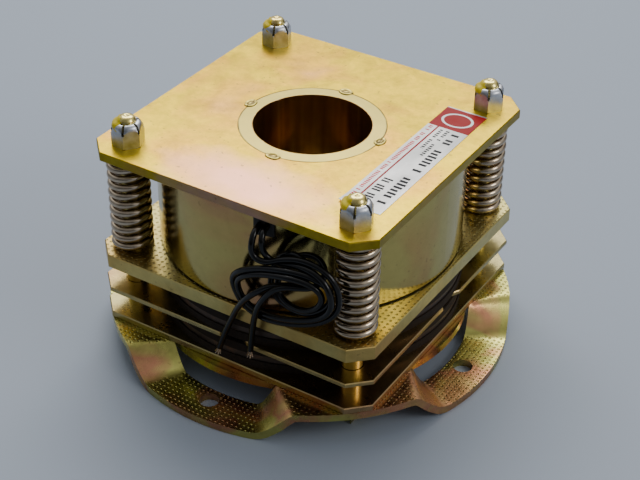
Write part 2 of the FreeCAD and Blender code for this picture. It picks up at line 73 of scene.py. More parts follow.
MM = 0.001
CORNERS = {"front_left": (-1, -1), "front_right": (1, -1), "back_right": (1, 1), "back_left": (-1, 1)}
TOP_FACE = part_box("top_plate")[1].z
TOP_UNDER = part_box("top_plate")[0].z
ARMATURE_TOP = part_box("armature_plate")[1].z
STUD_OFFSET = (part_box("guide_stud_back_right")[0].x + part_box("guide_stud_back_right")[1].x) / 2
STUD_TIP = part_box("guide_stud_back_right")[1].z


# ---------------------------------------------------------------- mesh helpers

def link(obj):
    bpy.context.scene.collection.objects.link(obj)
    return obj


def add_mesh(name, vertices, faces, smooth_angle=35):
    """A new mesh object with outward normals, smooth except along edges sharper than smooth_angle."""
    mesh = bpy.data.meshes.new(name)
    mesh.from_pydata([tuple(v) for v in vertices], [], faces)
    work = bmesh.new()
    work.from_mesh(mesh)
    bmesh.ops.remove_doubles(work, verts=work.verts, dist=1e-7)
    bmesh.ops.recalc_face_normals(work, faces=work.faces)
    work.to_mesh(mesh)
    work.free()
    shade(mesh, smooth_angle)
    return link(bpy.data.objects.new(name, mesh))


def shade(mesh, smooth_angle):
    mesh.polygons.foreach_set("use_smooth", [True] * len(mesh.polygons))
    mesh.set_sharp_from_angle(angle=math.radians(smooth_angle))


def loft(rings, wrap=False, caps=False):
    """Vertices and faces of the skin through closed rings of equal length."""
    count = len(rings[0])
    vertices = [p for ring in rings for p in ring]
    faces = []
    for i in range(len(rings) if wrap else len(rings) - 1):
        near, far = i * count, (i + 1) % len(rings) * count
        faces += [(near + j, near + (j + 1) % count, far + (j + 1) % count, far + j) for j in range(count)]
    if caps:
        faces += [tuple(reversed(range(count))), tuple(range(len(vertices) - count, len(vertices)))]
    return vertices, faces


def thick_sheet(outer, inner, columns):
    """Vertices and faces of a closed sheet between two grids of points that are columns wide."""
    rows, count = len(outer) // columns, len(outer)
    faces = []
    for i in range(rows - 1):
        for j in range(columns - 1):
            a = i * columns + j
            quad = (a, a + 1, a + columns + 1, a + columns)
            faces += [quad, tuple(count + v for v in reversed(quad))]
    rim = list(range(columns))
    rim += [i * columns + columns - 1 for i in range(1, rows)]
    rim += [(rows - 1) * columns + j for j in range(columns - 2, -1, -1)]
    rim += [i * columns for i in range(rows - 2, 0, -1)]
    faces += [(a, b, count + b, count + a) for a, b in zip(rim, rim[1:] + rim[:1])]
    return outer + inner, faces


def polar(centre, radius, angle, z):
    """The point at height z that lies radius from centre in the direction angle."""
    return (centre.x + radius * math.cos(angle), centre.y + radius * math.sin(angle), z)


def circle(centre, radius, z, steps):
    return [polar(centre, radius, 2 * math.pi * k / steps, z) for k in range(steps)]


def turned(profile, steps, wrap=False, caps=False):
    """The skin of a (radius, height) profile turned about Z."""
    return loft([circle(Vector(), r, z, steps) for r, z in profile], wrap, caps)


def swept(points, outward, radius, sides):
    """The skin of a round wire along points; outward holds one direction per point, across the wire."""
    points = np.array(points, float)
    along = np.gradient(points, axis=0)
    along /= np.linalg.norm(along, axis=1)[:, None]
    outward = np.array(outward, float)
    outward -= np.sum(outward * along, axis=1)[:, None] * along
    outward /= np.linalg.norm(outward, axis=1)[:, None]
    across = np.cross(along, outward)
    angles = 2 * np.pi * np.arange(sides) / sides
    rings = points[:, None] + radius * (np.cos(angles)[None, :, None] * outward[:, None]
                                        + np.sin(angles)[None, :, None] * across[:, None])
    return loft([ring.tolist() for ring in rings], caps=True)


def cut_away(obj, cutters, smooth_angle=35):
    """Takes the cutters' shapes out of obj and removes the cutters."""
    for cutter in cutters:
        tool = obj.modifiers.new("cut", "BOOLEAN")
        tool.operation = "DIFFERENCE"
        tool.solver = "EXACT"
        tool.object = cutter
    bpy.context.view_layer.update()
    result = bpy.data.meshes.new_from_object(obj.evaluated_get(bpy.context.evaluated_depsgraph_get()))
    obj.modifiers.clear()
    obj.data = result
    shade(result, smooth_angle)
    for cutter in cutters:
        bpy.data.objects.remove(cutter)
    return obj


def box_cutter(size, place, turn=0.0):
    square = ((-0.5, -0.5), (0.5, -0.5), (0.5, 0.5), (-0.5, 0.5))
    corners = [(x, y, z) for z in (-0.5, 0.5) for x, y in square]
    faces = [(0, 3, 2, 1), (4, 5, 6, 7)] + [(k, (k + 1) % 4, 4 + (k + 1) % 4, 4 + k) for k in range(4)]
    scaled = [tuple(c * s for c, s in zip(corner, size)) for corner in corners]
    cutter = add_mesh("cutter", scaled, faces)
    cutter.matrix_world = Matrix.Translation(place) @ Matrix.Rotation(turn, 4, "Z")
    return cutter


def rod_cutter(radius, length, place, steps=64):
    cutter = add_mesh("cutter", *turned([(radius, -length / 2), (radius, length / 2)], steps, caps=True))
    cutter.matrix_world = Matrix.Translation(place)
    return cutter


def round_edges(obj, width, angle=30, segments=2):
    bevel = obj.modifiers.new("round_edges", "BEVEL")
    bevel.width = width
    bevel.segments = segments
    bevel.limit_method = "ANGLE"
    bevel.angle_limit = math.radians(angle)
    bevel.harden_normals = True


def finish_piece(obj, body, material, replaced=()):
    """Gives a piece its material and its body, and hides the CAD nodes that it stands for."""
    obj.data.materials.clear()
    obj.data.materials.append(material)
    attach(obj, body)
    if replaced:
        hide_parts(*replaced)
    return obj


# ---------------------------------------------------------------- materials

class Nodes:
    """A material's node tree with short calls for the nodes that these materials use."""

    def __init__(self, name, colour, metallic, roughness, **constants):
        self.material = bpy.data.materials.new(name)
        self.material.use_nodes = True
        self.tree = self.material.node_tree
        self.shader = self.tree.nodes["Principled BSDF"]
        self.shader.inputs["Base Color"].default_value = (*colour, 1)
        self.shader.inputs["Metallic"].default_value = metallic
        self.shader.inputs["Roughness"].default_value = roughness
        for socket, number in constants.items():
            self.shader.inputs[socket.replace("_", " ")].default_value = number
        self.place = self.add("ShaderNodeTexCoord").outputs["Object"]
        self.bump_from = None

    def add(self, kind, **settings):
        node = self.tree.nodes.new(kind)
        for key, setting in settings.items():
            setattr(node, key, setting)
        return node

    def feed(self, source, target):
        self.tree.links.new(source, target)

    def into(self, socket, source):
        self.feed(source, self.shader.inputs[socket])

    def maths(self, operation, first, second=0.5, third=0.5):
        node = self.add("ShaderNodeMath", operation=operation)
        for socket, term in zip(node.inputs, (first, second, third)):
            if isinstance(term, (int, float)):
                socket.default_value = term
            else:
                self.feed(term, socket)
        return node.outputs[0]

    def vectors(self, operation, first, second=(0, 0, 0)):
        node = self.add("ShaderNodeVectorMath", operation=operation)
        for socket, term in zip(node.inputs, (first, second)):
            if isinstance(term, tuple):
                socket.default_value = term
            else:
                self.feed(term, socket)
        return node.outputs["Value"] if operation == "LENGTH" else node.outputs[0]

    def split(self, vector):
        node = self.add("ShaderNodeSeparateXYZ")
        self.feed(vector, node.inputs[0])
        return node.outputs

    def noise(self, size, detail=2.0, rough=0.5, stretch=(1, 1, 1), twist=0.0):
        """Noise with features about size metres across; a stretch above 1 lengthens them that way."""
        place = self.vectors("MULTIPLY", self.place, tuple(1 / s for s in stretch))
        node = self.add("ShaderNodeTexNoise")
        self.feed(place, node.inputs["Vector"])
        node.inputs["Scale"].default_value = 1 / size
        node.inputs["Detail"].default_value = detail
        node.inputs["Roughness"].default_value = rough
        node.inputs["Distortion"].default_value = twist
        return node.outputs["Fac"]

    def ramp(self, factor, *stops):
        """Colours, or greys given as one number, at places from 0 to 1."""
        node = self.add("ShaderNodeValToRGB")
        self.feed(factor, node.inputs[0])
        elements = node.color_ramp.elements
        while len(elements) < len(stops):
            elements.new(0.5)
        for element, (position, colour) in zip(elements, stops):
            element.position = position
            element.color = (*colour, 1) if isinstance(colour, tuple) else (colour, colour, colour, 1)
        return node.outputs["Color"]

    def span(self, factor, low, high, to_low=0.0, to_high=1.0):
        node = self.add("ShaderNodeMapRange")
        self.feed(factor, node.inputs["Value"])
        for name, number in zip(("From Min", "From Max", "To Min", "To Max"), (low, high, to_low, to_high)):
            node.inputs[name].default_value = number
        return node.outputs["Result"]

    def mix(self, factor, first, second, blend="MIX"):
        node = self.add("ShaderNodeMix", data_type="RGBA", blend_type=blend)
        for socket, term in ((node.inputs[0], factor), (node.inputs[6], first), (node.inputs[7], second)):
            if isinstance(term, tuple):
                socket.default_value = (*term, 1)
            elif isinstance(term, (int, float)):
                socket.default_value = term
            else:
                self.feed(term, socket)
        return node.outputs[2]

    def bump(self, height, depth, strength=1.0):
        """Adds one more layer of bump, depth metres deep, over those already there."""
        node = self.add("ShaderNodeBump")
        node.inputs["Strength"].default_value = strength
        node.inputs["Distance"].default_value = depth
        self.feed(height, node.inputs["Height"])
        if self.bump_from is not None:
            self.feed(self.bump_from, node.inputs["Normal"])
        self.bump_from = node.outputs["Normal"]
        self.into("Normal", self.bump_from)

    def between(self, factor, low, high):
        """1 where the factor lies between low and high, else 0."""
        above = self.maths("GREATER_THAN", factor, low)
        return self.maths("MULTIPLY", above, self.maths("LESS_THAN", factor, high))

    def facing_up(self):
        return self.span(self.split(self.add("ShaderNodeNewGeometry").outputs["Normal"])["Z"], 0.85, 0.97)

    def dots(self, pitch, size):
        """Round spots on a square grid in plan: 1 in a spot's middle, 0 outside it."""
        cell = self.vectors("MULTIPLY", self.place, (1 / pitch, 1 / pitch, 0))
        cell = self.vectors("FRACTION", cell)
        away = self.vectors("LENGTH", self.vectors("SUBTRACT", cell, (0.5, 0.5, 0)))
        return self.span(away, size / pitch * 0.5, size / pitch * 0.25)


def zinc(name, gold, tints, tint_size=0.035, rough=(0.26, 0.42), mottle=0.12, specks=0.35,
         dotted=None, sides=None, blush=None):
    """Yellow zinc chromate over steel: gold, drifting to the tints, with mottling and specks.

    dotted is the pitch, size and depth of pressed dots, which are painted darker as painted shade in
    their hollows, and the attribute that says where they are, sides a colour that faces other than
    upward ones are multiplied by as painted shade, and blush the middle, reach and colour of one tinted
    patch.
    """
    n = Nodes(name, gold, 1.0, rough[0])
    drift = n.noise(tint_size, detail=3, twist=0.6)
    stops = [(0.0, tints[0]), (0.34, gold)]
    stops += [(0.46 + 0.12 * k, c) for k, c in enumerate((gold, *tints[1:]))]
    colour = n.ramp(drift, *stops)
    cloud = n.span(n.noise(0.0035, detail=4, rough=0.65), 0.3, 0.7, 1 - mottle, 1 + mottle * 0.4)
    stain = n.span(n.noise(0.016, detail=6, rough=0.7, twist=0.8), 0.45, 0.72, 1.0, 1 - 1.6 * mottle)
    cloud = n.maths("MULTIPLY", cloud, stain)
    colour = n.mix(1.0, colour, cloud, "MULTIPLY")
    if blush:
        middle, reach, shade_of_blush = blush
        from_middle = n.vectors("SUBTRACT", n.place, middle)
        away = n.vectors("LENGTH", n.vectors("MULTIPLY", from_middle, tuple(1 / r for r in reach)))
        away = n.maths("ADD", away, n.maths("MULTIPLY", n.noise(0.018, detail=3), 0.9))
        colour = n.mix(n.span(away, 1.5, 0.7), colour, shade_of_blush)
    # Painted shade: faces that don't face up are multiplied by the sides colour, so they are darker than
    # the top where less light falls on them.
    if sides:
        colour = n.mix(n.facing_up(), n.mix(1.0, colour, sides, "MULTIPLY"), colour)
    spots = n.span(n.noise(0.0022, detail=1), 0.70, 0.76)
    colour = n.mix(n.maths("MULTIPLY", spots, specks), colour, (0.16, 0.11, 0.05))
    if dotted:
        pitch, size, depth, attribute = dotted
        mask = n.maths("MULTIPLY", n.dots(pitch, size), n.facing_up())
        if attribute:
            flag = n.add("ShaderNodeAttribute", attribute_name=attribute)
            mask = n.maths("MULTIPLY", mask, flag.outputs["Fac"])
        # Painted shade: the pressed dots on upward faces are painted darker, for the shade in their
        # hollows.
        colour = n.mix(n.maths("MULTIPLY", mask, 0.6), colour, tuple(c * 0.35 for c in gold))
    n.into("Base Color", colour)
    gloss = n.noise(0.012, detail=4, rough=0.6)
    n.into("Roughness", n.span(gloss, 0.3, 0.7, *rough))
    n.bump(n.noise(0.0009, detail=3, rough=0.6), 0.00002, 0.5)
    n.bump(n.noise(0.02, detail=1), 0.0004, 0.35)
    if dotted:
        n.bump(mask, -depth, 0.9)
    return n.material


BORE_EDGE = 27.3 * MM
SEAT_JOINT_INNER, SEAT_JOINT_OUTER = 33.3 * MM, 33.7 * MM
TURNING_LINES = 9000  # radians of tool mark per metre of radius


def bore_and_rim():
    """The pole tube: a pale turned rim, and a glossy bore painted in dark browns as painted shade, with
    lighter streaks along it as painted highlights.
    """
    n = Nodes("pole_zinc", (0.70, 0.56, 0.22), 1.0, 0.3)
    z = n.split(n.place)["Z"]
    radius = n.vectors("LENGTH", n.vectors("MULTIPLY", n.place, (1, 1, 0)))
    inside = n.span(radius, BORE_EDGE + 0.1 * MM, BORE_EDGE - 0.1 * MM)
    # Painted shade and highlights: the bore's dark browns stand in for the shade inside it and its lighter
    # streaks for highlights; the streaks' bump is real.
    streaks = n.noise(0.004, detail=3, stretch=(1, 1, 30))
    dark = n.ramp(streaks, (0.35, (0.44, 0.25, 0.08)), (0.6, (0.62, 0.40, 0.15)),
                  (0.75, (0.82, 0.62, 0.32)))
    turning = n.maths("SINE", n.maths("MULTIPLY", radius, TURNING_LINES))
    rim = n.mix(n.noise(0.01, detail=3), (0.66, 0.52, 0.13), (0.50, 0.40, 0.10))
    # Painted shade: a dark ring, broken up by noise, over the joint of pole tube and top plate, for the
    # shade in the gap between them.
    joint = n.maths("MULTIPLY", n.span(radius, SEAT_JOINT_INNER - 0.4 * MM, SEAT_JOINT_INNER),
                    n.span(radius, SEAT_JOINT_OUTER + 0.5 * MM, SEAT_JOINT_OUTER))
    painted_joint_shade = n.maths("MULTIPLY", joint, n.span(n.noise(0.012), 0.35, 0.6, 0.3, 0.9))
    rim = n.mix(painted_joint_shade, rim, (0.05, 0.035, 0.02))
    # Painted shade: surfaces from 0.02 to 0.36 mm over the top plate's face, round the foot of the staking
    # marks, are darkened.
    over = n.maths("SUBTRACT", z, TOP_FACE)
    painted_shade_at_mark_foot = n.maths("MULTIPLY", n.between(over, 0.02 * MM, 0.36 * MM), 0.75)
    rim = n.mix(painted_shade_at_mark_foot, rim, (0.07, 0.045, 0.02))
    n.into("Base Color", n.mix(inside, rim, dark))
    n.into("Roughness", n.span(inside, 0, 1, 0.30, 0.24))
    n.bump(turning, 0.00001, 0.4)
    n.bump(streaks, 0.00005, 0.3)
    return n.material


def steel(name, colour, rough, streak=(1, 1, 1), size=0.006, rust=0.0):
    """Plain machined or drawn metal with streaks and a little staining."""
    n = Nodes(name, colour, 1.0, rough)
    grain = n.noise(size, detail=4, rough=0.6, stretch=streak)
    shaded = n.ramp(grain, (0.3, tuple(c * 0.72 for c in colour)),
                    (0.7, tuple(min(1, c * 1.15) for c in colour)))
    if rust:
        stain = n.span(n.noise(0.006, detail=5, rough=0.7), 0.52, 0.66)
        shaded = n.mix(n.maths("MULTIPLY", stain, rust), shaded, (0.20, 0.09, 0.04))
    n.into("Base Color", shaded)
    n.into("Roughness", n.span(grain, 0.3, 0.7, rough * 0.8, min(1.0, rough * 1.25)))
    n.bump(n.noise(size * 0.25, detail=3, stretch=streak), 0.00002, 0.5)
    return n.material


def grainy(name, dark, light, rough, size=0.0015, depth=0.0001, **constants):
    """Friction lining, plastic, resin or rubber: two tones in a fine grain, with its bump."""
    n = Nodes(name, light, 0.0, rough, **constants)
    grain = n.noise(size, detail=4, rough=0.65)
    n.into("Base Color", n.ramp(grain, (0.35, dark), (0.65, light)))
    n.into("Roughness", n.span(grain, 0.3, 0.7, rough * 0.85, min(1.0, rough * 1.1)))
    n.bump(grain, depth, 0.6)
    return n.material


COIL_WIRE_PITCH = 0.0008


def wound_copper():
    """The coil's turns, as fine grooves round the winding."""
    n = Nodes("copper", (0.62, 0.27, 0.12), 1.0, 0.3)
    turns = n.maths("SINE", n.maths("MULTIPLY", n.split(n.place)["Z"], 2 * math.pi / COIL_WIRE_PITCH))
    n.into("Base Color", n.mix(n.noise(0.01), (0.62, 0.27, 0.12), (0.45, 0.18, 0.08)))
    n.bump(turns, 0.0001, 0.8)
    return n.material


LABEL_LOW, LABEL_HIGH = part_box("blank_label")
ROW_SHIFT = 7.3  # sets each row of strokes apart from the others
FOIL_METALLIC = 0.85
RED_INK, BLACK_INK, RING_WHITE = (0.30, 0.0, 0.0), (0.006, 0.006, 0.007), (0.85, 0.85, 0.84)
# Rows of strokes in mm: low and high edge across the label, start and end along it, pitch, and ink.
LABEL_ROWS = ((1.4, 3.4, 6, 76, 1.3, RED_INK), (7.2, 9.0, 56, 76, 1.7, BLACK_INK),
              (10.2, 12.0, 50, 76, 1.7, BLACK_INK), (6.8, 11.4, 8, 30, 2.0, BLACK_INK),
              (13.6, 18.0, 5, 75, 2.7, BLACK_INK))


def label_foil():
    """Silver foil with a red block, a plain ring, a red rule and rows of illegible strokes."""
    n = Nodes("label_foil", (0.60, 0.60, 0.60), FOIL_METALLIC, 0.3, Specular_IOR_Level=0.15)
    place = n.split(n.place)
    across = n.maths("DIVIDE", n.maths("SUBTRACT", place["X"], LABEL_LOW.x), MM)
    along = n.maths("DIVIDE", n.maths("SUBTRACT", place["Y"], LABEL_LOW.y), MM)
    foil = n.ramp(n.noise(0.012, detail=4, stretch=(1, 3, 1)),
                  (0.3, (0.34, 0.34, 0.33)), (0.7, (0.60, 0.59, 0.57)))

    def strokes(low, high, start, end, pitch, ink):
        """One row of upright strokes of uneven length, like text that is too small to read."""
        step = n.maths("DIVIDE", along, pitch)
        which = n.add("ShaderNodeTexWhiteNoise", noise_dimensions="1D")
        n.feed(n.maths("FLOOR", n.maths("ADD", step, low * ROW_SHIFT)), which.inputs["W"])
        tall = high - low
        height = n.maths("MULTIPLY_ADD", which.outputs["Value"], tall * 0.25, low + tall * 0.75)
        shown = n.maths("GREATER_THAN", which.outputs["Value"], 0.16)
        bar = n.between(n.maths("FRACT", n.maths("ADD", step, low * ROW_SHIFT)), 0.12, 0.74)
        row = n.between(across, low, height)
        reach = n.between(along, start, end)
        mask = n.maths("MULTIPLY", n.maths("MULTIPLY", row, reach), n.maths("MULTIPLY", bar, shown))
        return n.mix(mask, foil, ink)

    for row in LABEL_ROWS:
        foil = strokes(*row)
    rule = n.maths("MULTIPLY", n.between(across, 4.7, 5.6), n.between(along, 8, 78))
    block = n.between(along, 77.0, 95.2)
    middle = ((LABEL_LOW.x + LABEL_HIGH.x) / 2, LABEL_HIGH.y - 9.9 * MM, 0)
    from_middle = n.vectors("SUBTRACT", n.place, middle)
    away = n.vectors("LENGTH", n.vectors("MULTIPLY", from_middle, (1 / 7.6, 1 / 6.2, 0)))
    ring = n.between(away, 0.84 * MM, MM)
    foil = n.mix(rule, foil, RED_INK)
    foil = n.mix(block, foil, RED_INK)
    foil = n.mix(n.maths("MULTIPLY", ring, block), foil, RING_WHITE)
    n.into("Base Color", foil)
    n.into("Metallic", n.span(n.maths("ADD", block, rule), 0, 1, FOIL_METALLIC, 0.0))
    n.into("Roughness", n.span(n.noise(0.01, detail=3), 0.3, 0.7, 0.34, 0.5))
    n.bump(n.noise(0.008, detail=2), 0.0003, 0.4)
    return n.material


def lead_cover():
    """Soft black insulation with dull patches and dust."""
    n = Nodes("lead_insulation", (0.003, 0.003, 0.003), 0.0, 0.15, Specular_IOR_Level=0.32)
    dust = n.span(n.noise(0.006, detail=5, rough=0.7), 0.5, 0.75, 0, 0.25)
    n.into("Base Color", n.mix(dust, (0.002, 0.002, 0.002), (0.010, 0.009, 0.008)))
    n.into("Roughness", n.span(n.noise(0.004, detail=3), 0.3, 0.7, 0.09, 0.18))
    n.bump(n.noise(0.0012, detail=3), 0.00003, 0.4)
    return n.material


GOLD, GREEN, PALE = (0.74, 0.51, 0.02), (0.42, 0.52, 0.14), (0.86, 0.72, 0.34)
MATERIALS = {
    "flange_zinc": zinc(
        "flange_zinc", (0.50, 0.47, 0.13),
        ((0.24, 0.34, 0.07), (0.52, 0.24, 0.13), (0.56, 0.38, 0.14), GREEN), 0.032, (0.2, 0.36),
        dotted=(2.4 * MM, 1.3 * MM, 0.15 * MM, "dimpled")),
    "plate_zinc": zinc(
        "plate_zinc", (0.42, 0.36, 0.16),
        ((0.28, 0.21, 0.10), (0.44, 0.33, 0.13), (0.44, 0.28, 0.14)), 0.05, (0.22, 0.36)),
    "armature_zinc": zinc(
        "armature_zinc", (0.54, 0.46, 0.17),
        (GREEN, (0.52, 0.38, 0.12), (0.50, 0.34, 0.12)), 0.05, (0.26, 0.4),
        dotted=(2.7 * MM, 1.3 * MM, 0.2 * MM, None)),
    # The top plate's sides are multiplied by a darker, bluer colour: painted shade, as less light falls on
    # them than on the top.
    "top_zinc": zinc(
        "top_zinc", GOLD,
        ((0.76, 0.60, 0.08), (0.74, 0.43, 0.04), (0.76, 0.40, 0.12), (0.60, 0.52, 0.08)),
        0.05, (0.28, 0.42), 0.16, 0.5, sides=(0.44, 0.48, 0.85),
        blush=((0.004, -0.058, 0.106), (0.046, 0.022, 0.1), (0.88, 0.44, 0.28))),
    "can_zinc": zinc(
        "can_zinc", (0.45, 0.38, 0.13),
        ((0.32, 0.32, 0.12), (0.46, 0.32, 0.12), (0.42, 0.22, 0.12)), 0.06, (0.12, 0.22), 0.06),
    "pole_zinc": bore_and_rim(),
    "stud_zinc": zinc(
        "stud_zinc", (0.74, 0.62, 0.22), (GREEN, (0.66, 0.50, 0.16), PALE), 0.03, (0.14, 0.26),
        0.05, 0.1),
    "nut_plated": steel("nut_plated", (0.52, 0.54, 0.58), 0.34, size=0.004),
    "spring_steel": steel("spring_steel", (0.50, 0.41, 0.30), 0.14, size=0.003, rust=0.35),
    "hub_steel": steel("hub_steel", (0.45, 0.44, 0.42), 0.3, (1, 1, 12)),
    "disc_steel": steel("disc_steel", (0.10, 0.075, 0.06), 0.45, rust=0.4),
    "friction_lining": grainy("friction_lining", (0.010, 0.006, 0.004), (0.026, 0.016, 0.009), 0.7,
                              Specular_IOR_Level=0.2),
    "copper": wound_copper(),
    "bobbin_plastic": grainy("bobbin_plastic", (0.62, 0.58, 0.48), (0.74, 0.70, 0.60), 0.5, 0.004),
    "coil_tape": grainy("coil_tape", (0.55, 0.45, 0.16), (0.68, 0.58, 0.26), 0.45, 0.005),
    "potting_resin": grainy("potting_resin", (0.02, 0.018, 0.016), (0.05, 0.045, 0.04), 0.25, 0.01),
    "grommet_rubber": grainy("grommet_rubber", (0.012, 0.012, 0.012), (0.035, 0.033, 0.03), 0.6, 0.002),
    "label_foil": label_foil(),
    "lead_insulation": lead_cover(),
    "tinned_strands": steel("tinned_strands", (0.60, 0.46, 0.32), 0.3, size=0.002),
    "torque_paint": grainy("torque_paint", (0.58, 0.44, 0.0), (0.74, 0.58, 0.0), 0.35, 0.002, 0.00015),
}

for row in frame["record"]["subparts"]:
    mesh = frame["nodes"][row["node"]].data
    mesh.materials.clear()
    mesh.materials.append(MATERIALS[row["material_slot"]])


# ---------------------------------------------------------------- mounting flange

FLANGE_RADIUS = cad_high.x
FLANGE_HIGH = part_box("mounting_flange")[1].z
FLANGE_THICK = 3.6 * MM
FLANGE_DROP = FLANGE_HIGH - FLANGE_THICK
FLANGE_OPENING = 32 * MM
SHEAR_INNER, SHEAR_OUTER = 75.8 * MM, 77.0 * MM
SHEAR_HALF_ANGLE = math.radians(22.5)
LOBE_HOLE_CIRCLE, LOBE_HOLE_RADIUS = 84 * MM, 4.5 * MM
BEND_SOFTNESS = 0.22


def soft_ramp(share):
    """0 to 1 along a straight slope whose two bends are rounded."""
    soft = BEND_SOFTNESS
    s = share * (1 + 2 * soft) - soft
    if s <= -soft:
        return 0.0
    if s >= 1 + soft:
        return 1.0
    if s < soft:
        return (s + soft) ** 2 / (4 * soft)
    if s > 1 - soft:
        return 1 - (1 + soft - s) ** 2 / (4 * soft)
    return s


def flange_rise(radius, angle):
    """Height of the flange's top face over the lobes' flats, as a share of the drop."""
    if radius < SHEAR_INNER + 1e-6:
        return 1.0
    local = (angle + math.pi / 4) % (math.pi / 2) - math.pi / 4
    station, aside = radius * math.cos(local), abs(radius * math.sin(local))
    low = 18.5 * MM + 0.43 * (station - 74 * MM)
    high = 27 * MM + 1.46 * (station - 70 * MM)
    return soft_ramp((aside - low) / (high - low))


def build_flange():
    """One grid of cells, pressed into four lobes; the sheared slots are cells left out of it."""
    steps, inner_rings, outer_rings = 240, 12, 9
    radii = [*np.linspace(FLANGE_OPENING, SHEAR_INNER, inner_rings),
             *np.linspace(SHEAR_OUTER, FLANGE_RADIUS, outer_rings)]
    shear_cell = inner_rings - 1
    angle_of = [2 * math.pi * j / steps for j in range(steps)]
    top, under, dimpled = [], [], []
    for r in radii:
        for a in angle_of:
            rise = flange_rise(r, a)
            slope = (flange_rise(r, a + 0.01) - flange_rise(r, a - 0.01)) * FLANGE_DROP / (0.02 * r)
            z = FLANGE_THICK + rise * FLANGE_DROP
            top.append((r * math.cos(a), r * math.sin(a), z))
            under.append((*top[-1][:2], z - FLANGE_THICK * math.sqrt(1 + slope * slope)))
            dimpled.append(float(rise < 0.03 or (rise > 0.97 and r > SHEAR_OUTER)))
    lowest = min(p[2] for p in under)
    under = [(x, y, max(z, 0.0)) for x, y, z in under] if lowest < 0 else under

    def absent(i, j):
        local = (angle_of[j] + math.pi / steps + math.pi / 4) % (math.pi / 2) - math.pi / 4
        return i == shear_cell and abs(local) < SHEAR_HALF_ANGLE

    cells = {(i, j) for i in range(len(radii) - 1) for j in range(steps) if not absent(i, j)}
    faces, shift = [], len(top)
    for i, j in cells:
        k = (j + 1) % steps
        near, far = i * steps, (i + 1) * steps
        faces.append((near + j, far + j, far + k, near + k))
        faces.append(tuple(shift + v for v in reversed(faces[-1])))
        walls = ((i - 1, j, near + k, near + j), (i + 1, j, far + j, far + k),
                 (i, (j - 1) % steps, near + j, far + j), (i, k, far + k, near + k))
        faces += [(a, b, shift + b, shift + a) for ni, nj, a, b in walls if (ni, nj) not in cells]
    obj = add_mesh("flange_sheet", top + under, faces)
    flag = obj.data.attributes.new("dimpled", "FLOAT", "POINT")
    flag.data.foreach_set("value", dimpled + dimpled)
    holes = [rod_cutter(LOBE_HOLE_RADIUS, 30 * MM, polar(Vector(), LOBE_HOLE_CIRCLE, a, 0))
             for a in (0, math.pi / 2, math.pi, 3 * math.pi / 2)]
    cut_away(obj, holes)
    round_edges(obj, 0.5 * MM, 40, 3)
    finish_piece(obj, "magnet_frame", MATERIALS["flange_zinc"], ["mounting_flange"])


build_flange()


# ---------------------------------------------------------------- springs, studs and lock nuts

SPRING_MEAN, SPRING_WIRE = 8.0 * MM, 1.75 * MM
SPRING_TURNS, SPRING_CLOSED = 10.9, 0.85
STEPS_PER_TURN, WIRE_SIDES = 44, 14
# How far the loose fit on its stud lets each spring stand aside.
SPRING_SHIFT = {"front_right": (0.85 * MM, 0.55 * MM), "front_left": (-0.8 * MM, -0.5 * MM),
                "back_right": (0.3 * MM, 0.2 * MM), "back_left": (0.2 * MM, -0.3 * MM)}


def build_spring(corner, side_x, side_y):
    """A right-handed compression spring with closed, ground ends."""
    aside, back = SPRING_SHIFT[corner]
    centre = Vector((side_x * STUD_OFFSET + aside, side_y * STUD_OFFSET + back, 0))
    low, high = ARMATURE_TOP, TOP_UNDER
    first, last = low + 0.6 * SPRING_WIRE, high - 0.6 * SPRING_WIRE
    closed_pitch = 2.02 * SPRING_WIRE
    open_turns = SPRING_TURNS - 2 * SPRING_CLOSED
    open_pitch = (last - first - 2 * SPRING_CLOSED * closed_pitch) / open_turns
    start = math.radians(35 + 80 * list(CORNERS).index(corner))
    points, outward = [], []
    for k in range(int(SPRING_TURNS * STEPS_PER_TURN) + 1):
        turn = k / STEPS_PER_TURN
        rise = closed_pitch * min(turn, SPRING_CLOSED)
        rise += open_pitch * min(max(turn - SPRING_CLOSED, 0), open_turns)
        rise += closed_pitch * max(turn - SPRING_CLOSED - open_turns, 0)
        angle = start + 2 * math.pi * turn
        direction = Vector((math.cos(angle), math.sin(angle), 0))
        points.append(centre + SPRING_MEAN * direction + Vector((0, 0, first + rise)))
        outward.append(direction)
    vertices, faces = swept(points, outward, SPRING_WIRE, WIRE_SIDES)
    vertices = [(x, y, min(max(z, low), high)) for x, y, z in vertices]
    obj = add_mesh("coil_spring_" + corner, vertices, faces, 60)
    finish_piece(obj, "magnet_frame", MATERIALS["spring_steel"], ["brake_spring_" + corner])
    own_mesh(obj)


THREAD_PITCH, THREAD_RADIUS, THREAD_DEPTH = 1.25 * MM, 3.9 * MM, 0.55 * MM
# Radius and depth below the tip, in mm: the dome, then the turning centre in its middle.
STUD_DOME = ((3.75, 1.45), (3.35, 0.8), (2.8, 0.35), (2.0, 0.08), (1.2, 0.0), (0.8, 0.12), (0.3, 0.5))


def stud_axis(side_x, side_y):
    return Vector((side_x * STUD_OFFSET, side_y * STUD_OFFSET, 0))


